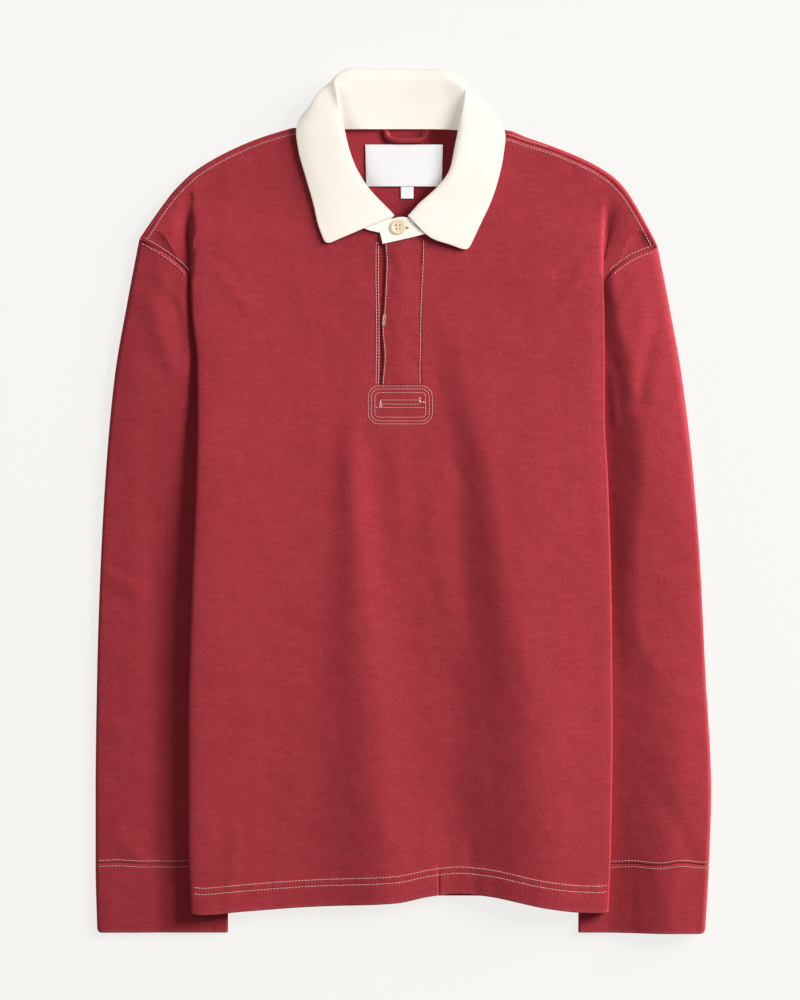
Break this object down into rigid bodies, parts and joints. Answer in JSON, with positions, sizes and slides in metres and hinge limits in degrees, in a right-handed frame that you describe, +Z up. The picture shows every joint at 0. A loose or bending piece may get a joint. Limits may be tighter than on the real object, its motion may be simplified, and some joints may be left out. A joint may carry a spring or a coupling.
{
  "type": "rugby shirt",
  "caption": "Long-sleeved rugby shirt in red jersey laid flat, front up, sides tucked under, with a cream collar, hidden-button placket and wide cuffs.",
  "frame": {"origin": "on the surface the shirt lies on, under the middle of its outline", "axes": "+Y points to the collar, +X to the wearer's left, +Z up from the surface through the front"},
  "size_m": [0.5531, 0.7759, 0.0247],
  "materials": {
    "jersey_red": "matte washed cotton jersey",
    "collar_cream": "matte cotton twill",
    "label_white": "smooth woven ribbon",
    "button_cream": "polished"
  },
  "bodies": {
    "root": {"front": "jersey_red", "back": "jersey_red", "sleeve_right": "jersey_red", "sleeve_left": "jersey_red", "cuff_right": "jersey_red", "cuff_left": "jersey_red", "placket_flap": "jersey_red", "placket_under": "jersey_red", "hanger_loop": "jersey_red", "collar": "collar_cream", "collar_band_over": "collar_cream", "button": "button_cream", "neck_label": "label_white", "size_tab": "label_white"}
  },
  "joints": []
}
